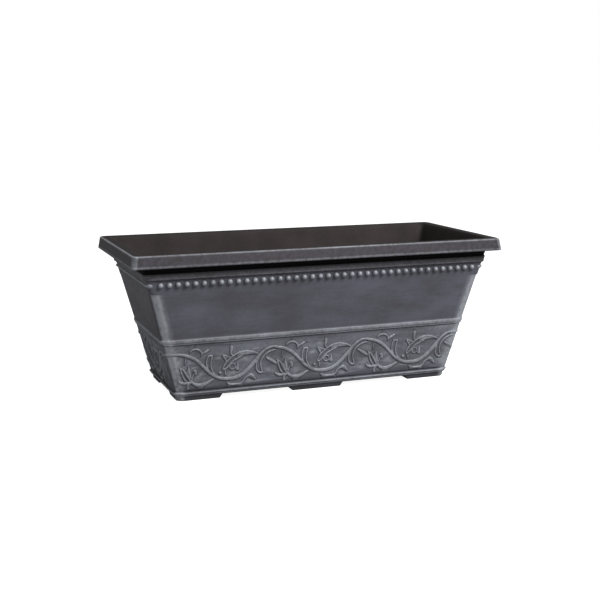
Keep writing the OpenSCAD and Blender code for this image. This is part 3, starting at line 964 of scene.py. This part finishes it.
# Moulded polyresin, sprayed dark pewter and wiped: black stays in the recesses and is also painted where
# shade falls under the rim, band, beads and mouldings; a silver wash is rubbed over what stands out, with
# a painted highlight on the beads' and ridges' upper sides, and a mist of it lies in clouds on the walls.
# Satin, a little uneven.
def pewterResin():
    material, tree = newMaterial("mouldedResinPewterWash")
    place = addNode(tree, "TexCoord").outputs["Object"]
    flat = finish["mistHeight"] / finish["mistLength"]
    drift = addNode(tree, "Mapping", {"Vector": place, "Scale": (flat, flat, 1.0)})
    cloud = addNode(tree, "TexNoise", {
        "Vector": drift, "Detail": 3.0, "Roughness": 0.5, "Scale": scaleOf("mistHeight")})
    thick = addNode(tree, "MapRange", {"Value": cloud, **spread})
    level = finish["smudgeHeight"] / finish["smudgeLength"]
    smooth = addNode(tree, "Mapping", {"Vector": place, "Scale": (level, level, 1.0)})
    smudge = addNode(tree, "TexNoise", {
        "Vector": smooth, "Detail": 3.0, "Roughness": 0.6, "Scale": scaleOf("smudgeHeight")})
    smear = addNode(tree, "MapRange", {"Value": smudge, **spread, "To Min": -0.14, "To Max": 0.14})
    streaky = addNode(tree, "Math", {0: thick, 1: smear}, operation="ADD")
    grain = addNode(tree, "TexNoise", {"Vector": place, "Detail": 3.0, "Scale": scaleOf("grain")})
    speck = addNode(tree, "MapRange", {"Value": grain, **spread, "To Min": -0.3, "To Max": 0.3})
    mist = addNode(tree, "Math", {0: streaky, 1: speck}, operation="ADD", use_clamp=True)
    patch = addNode(tree, "TexNoise", {
        "Vector": place, "Detail": 5.0, "Roughness": 0.65, "Scale": scaleOf("wornPatch")})
    thin = addNode(tree, "MapRange", {"Value": patch, "From Min": 0.32, "From Max": 0.6, "To Min": 0.35})
    mottle = addNode(tree, "MapRange", {"Value": patch, "From Min": 0.38, "From Max": 0.62})
    rimCoat = addNode(tree, "Mix", {
        "Factor": mottle, "A": fromHex(finish["rimDark"]), "B": fromHex(finish["rim"])}, data_type="RGBA")
    wash = addNode(tree, "Attribute", attribute_name="wash").outputs["Fac"]
    rubbed = addNode(tree, "Math", {0: wash, 1: thin}, operation="MULTIPLY")
    drifts = addNode(tree, "MapRange", {"Value": cloud, **spread, "To Min": 0.6, "To Max": 1.25})
    shine = addNode(tree, "Math", {0: rubbed, 1: drifts}, operation="MULTIPLY", use_clamp=True)
    # black from below 0: residue in the grooves, and painted shade
    residueAndShade = addNode(tree, "MapRange", {"Value": wash, "From Min": 0.0, "From Max": -1.0})
    high = addNode(tree, "SeparateXYZ", {"Vector": place}).outputs["Z"]
    onRim = addNode(tree, "MapRange", {
        "Value": high, "From Min": finish["rimBrownFrom"] * mm, "From Max": finish["rimBrownTo"] * mm,
        "To Max": 0.9})
    coat = addNode(tree, "Mix", {
        "Factor": mist, "A": fromHex(finish["coatDark"]), "B": fromHex(finish["coat"])}, data_type="RGBA")
    browned = addNode(tree, "Mix", {"Factor": onRim, "A": coat, "B": rimCoat}, data_type="RGBA")
    silvered = addNode(tree, "Mix", {
        "Factor": shine, "A": browned, "B": fromHex(finish["silver"])}, data_type="RGBA")
    colour = addNode(tree, "Mix", {
        "Factor": residueAndShade, "A": silvered, "B": fromHex(finish["recessShade"])}, data_type="RGBA")
    bump = addNode(tree, "Bump", {"Height": grain, "Strength": 0.2, "Distance": 0.2 * mm})
    gloss = addNode(tree, "MapRange", {"Value": patch, **spread, "To Min": 0.5, "To Max": 0.62})
    metal = addNode(tree, "Math", {0: shine, 1: 0.35}, operation="MULTIPLY")
    surface = addNode(tree, "BsdfPrincipled", {
        "Base Color": colour, "Roughness": gloss, "Metallic": metal, "IOR": 1.5,
        "Specular IOR Level": 0.35, "Normal": bump})
    addNode(tree, "OutputMaterial", {"Surface": surface})
    return material


# The black resin behind the skirt, where neither spray nor rag reaches, drawn full black as painted shade
# under the rim: matt, next to no shine
def unsprayedResinAsShade():
    material, tree = newMaterial("mouldedResinUnsprayedShade")
    place = addNode(tree, "TexCoord").outputs["Object"]
    grain = addNode(tree, "TexNoise", {"Vector": place, "Detail": 3.0, "Scale": scaleOf("grain")})
    tone = Vector(fromHex(finish["recessShade"]))
    colour = addNode(tree, "Mix", {
        "Factor": grain, "A": tuple(tone * 0.8), "B": tuple(tone * 1.2)}, data_type="RGBA")
    surface = addNode(tree, "BsdfPrincipled", {
        "Base Color": colour, "Roughness": 0.9, "IOR": 1.5, "Specular IOR Level": 0.1})
    addNode(tree, "OutputMaterial", {"Surface": surface})
    return material


# The same resin, bare on the inside: brown, dull, with a fine dust of old soil, darker just under the
# rim's top, and lighter down the inner corners, partly wear and partly a painted sheen
def bareResin():
    material, tree = newMaterial("mouldedResinBare")
    place = addNode(tree, "TexCoord").outputs["Object"]
    cloud = addNode(tree, "TexNoise", {"Vector": place, "Detail": 3.0, "Scale": scaleOf("soilCloud")})
    grain = addNode(tree, "TexNoise", {"Vector": place, "Detail": 4.0, "Scale": scaleOf("grain")})
    dusty = addNode(tree, "Math", {0: cloud, 1: grain}, operation="ADD")
    dust = addNode(tree, "MapRange", {"Value": dusty, "From Min": 0.8, "From Max": 1.2})
    base = Vector(fromHex(finish["inside"]))
    soiled = addNode(tree, "Mix", {
        "Factor": dust, "A": tuple(base * 0.78), "B": tuple(base * 1.22)}, data_type="RGBA")
    bump = addNode(tree, "Bump", {"Height": grain, "Strength": 0.3, "Distance": 0.3 * mm})
    wash = addNode(tree, "Attribute", attribute_name="wash").outputs["Fac"]
    residueAndShade = addNode(tree, "MapRange", {"Value": wash, "From Min": 0.0, "From Max": -1.0})
    dark = addNode(tree, "Mix", {
        "Factor": residueAndShade, "A": soiled, "B": fromHex(finish["recessShade"])}, data_type="RGBA")
    # the inner corners' lighter band: wear, and a painted sheen
    worn = addNode(tree, "Mix", {
        "Factor": wash, "A": dark, "B": fromHex(finish["insideWornAndSheen"])}, data_type="RGBA")
    surface = addNode(tree, "BsdfPrincipled", {
        "Base Color": worn, "Roughness": 0.8, "IOR": 1.5, "Specular IOR Level": 0.2, "Normal": bump})
    addNode(tree, "OutputMaterial", {"Surface": surface})
    return material


# Moulded black rubber: dull, with greyer dusty patches
def plugRubber():
    material, tree = newMaterial("mouldedRubberBlack")
    place = addNode(tree, "TexCoord").outputs["Object"]
    dust = addNode(tree, "TexNoise", {"Vector": place, "Detail": 4.0, "Scale": scaleOf("rubberDust")})
    base = Vector(fromHex(finish["rubber"]))
    colour = addNode(tree, "Mix", {
        "Factor": dust, "A": tuple(base * 0.7), "B": tuple(base * 1.7)}, data_type="RGBA")
    bump = addNode(tree, "Bump", {"Height": dust, "Strength": 0.2, "Distance": 0.1 * mm})
    surface = addNode(tree, "BsdfPrincipled", {
        "Base Color": colour, "Roughness": 0.6, "IOR": 1.52, "Normal": bump})
    addNode(tree, "OutputMaterial", {"Surface": surface})
    return material


# Pewter outside, bare resin inside and on the rim's flat top, unsprayed black, which also paints the shade
# under the rim, where the wash is at its blackest
def dressShell(walls, outer, inner, underRimShade):
    walls.data.materials.clear()
    for material in (outer, inner, underRimShade):
        walls.data.materials.append(material)
    wash = walls.data.attributes["wash"]
    for face in walls.data.polygons:
        isInside = standsOut(face.center) < -shell["innerDepth"]
        most = max(wash.data[i].value for i in face.vertices)
        isLand = face.center.z > rimTop - shell["landDepth"] and most < shell["landWash"]
        isUnderRimShade = face.center.z > shell["stripTop"] and most < shell["underRimShadeWash"]
        face.material_index = 1 if isInside or isLand else 2 if isUnderRimShade else 0


# The pieces

pewter, bare, unsprayedAsShade, rubber = pewterResin(), bareResin(), unsprayedResinAsShade(), plugRubber()
walls = makeWalls()
print("walls", len(walls.data.vertices))
cutDrainHoles(walls)
print("drain holes cut", len(walls.data.vertices))
carveFrieze(walls)
print("frieze carved", len(walls.data.vertices))
dressShell(walls, pewter, bare, unsprayedAsShade)
smoothPiece(walls, shell["smoothAngle"])
finishPiece(walls, "shell", ["planter_shell"])

footBlocks = makeFeet()
footPiece = joinPieces(footBlocks[0], footBlocks[1:])
footPiece.name = "shellFeet"
rubFeet(footPiece)
beadPiece = makeBeads()
for piece, angle in ((footPiece, shell["smoothAngle"]), (beadPiece, beads["smoothAngle"])):
    piece.data.materials.append(pewter)
    smoothPiece(piece, angle)
    finishPiece(piece, "shell", ["planter_shell"])
print("feet and beads made")

firstPlug = makePlug()
firstPlug.data.materials.append(rubber)
smoothPiece(firstPlug, shell["smoothAngle"])
for index in range(1, 7):
    made = firstPlug if index == 6 else copyOf(firstPlug, "drainPlug")
    made.name = f"drainPlug{index}"
    centre = plugCentre(index)
    made.data.transform(Matrix.Translation((centre.x, centre.y, 0)))
    finishPiece(made, f"plug_{index}", [f"drain_plug_{index}"])
print("plugs made")


# Stage, lights and camera

studio = {
    "floorSize": 12.0,
    "floor": "#a8a8a8",
    "floorGlow": 0.93,  # lifts the floor to the white of the paper, for the eye alone
    "worldStrength": 0.39,
    "keyPower": 146.0,  # watts
    "keyPlace": (1.1, -2.0, 2.4),
    "keySize": 1.3,
}
clearSelection()
bpy.ops.mesh.primitive_plane_add(size=studio["floorSize"])
floor = bpy.context.object
floor.name = "stageFloor"
floorMaterial, floorTree = newMaterial("paleFloor")
floorSeen = addNode(floorTree, "LightPath").outputs["Is Camera Ray"]
floorGlow = addNode(floorTree, "MapRange", {"Value": floorSeen, "To Max": studio["floorGlow"]})
floorSurface = addNode(floorTree, "BsdfPrincipled", {
    "Base Color": fromHex(studio["floor"]), "Roughness": 0.85, "Emission Color": (1.0, 1.0, 1.0, 1.0),
    "Emission Strength": floorGlow})
addNode(floorTree, "OutputMaterial", {"Surface": floorSurface})
floor.data.materials.append(floorMaterial)

world = bpy.data.worlds.new("softStudio")  # seen white, and a dimmer white as light
world.use_nodes = True
sky = world.node_tree
sky.nodes.clear()
seen = addNode(sky, "LightPath").outputs["Is Camera Ray"]
strength = addNode(sky, "MapRange", {"Value": seen, "To Min": studio["worldStrength"], "To Max": 1.0})
glow = addNode(sky, "Background", {"Color": (1.0, 1.0, 1.0, 1.0), "Strength": strength})
addNode(sky, "OutputWorld", {"Surface": glow})
bpy.context.scene.world = world


def addLight(name, place, size, power, target):
    light = bpy.data.lights.new(name, "AREA")
    light.size = size
    light.energy = power
    lamp = bpy.data.objects.new(name, light)
    bpy.context.collection.objects.link(lamp)
    lamp.location = place
    lamp.rotation_euler = (target - Vector(place)).to_track_quat("-Z", "Y").to_euler()


addLight("keyLight", studio["keyPlace"], studio["keySize"], studio["keyPower"], Vector((0, 0, 0.11)))

view = {
    "azimuth": -20.667,  # degrees
    "elevation": 11.125,
    "distance": 1.7838,  # m, from the target
    "target": (0.0, 0.0, 0.110),
    "focalPixels": 1076.3,  # in the photograph's 600 pixel frame
    "centreX": 298.31,
    "centreY": 311.5,
    "frame": 600,  # pixels
    "sensorWidth": 36.0,
}
azimuth, elevation = math.radians(view["azimuth"]), math.radians(view["elevation"])
back = Vector((math.sin(azimuth) * math.cos(elevation), -math.cos(azimuth) * math.cos(elevation),
               math.sin(elevation)))
lens = bpy.data.cameras.new("photoCamera")
lens.sensor_width = view["sensorWidth"]
lens.lens = view["focalPixels"] / view["frame"] * lens.sensor_width
lens.shift_x = (view["frame"] / 2 - view["centreX"]) / view["frame"]
lens.shift_y = (view["centreY"] - view["frame"] / 2) / view["frame"]
camera = bpy.data.objects.new("photoCamera", lens)
bpy.context.collection.objects.link(camera)
camera.location = Vector(view["target"]) + back * view["distance"]
camera.rotation_euler = (-back).to_track_quat("-Z", "Y").to_euler()
bpy.context.scene.camera = camera
bpy.context.scene.view_settings.view_transform = "Standard"

print("stage set")
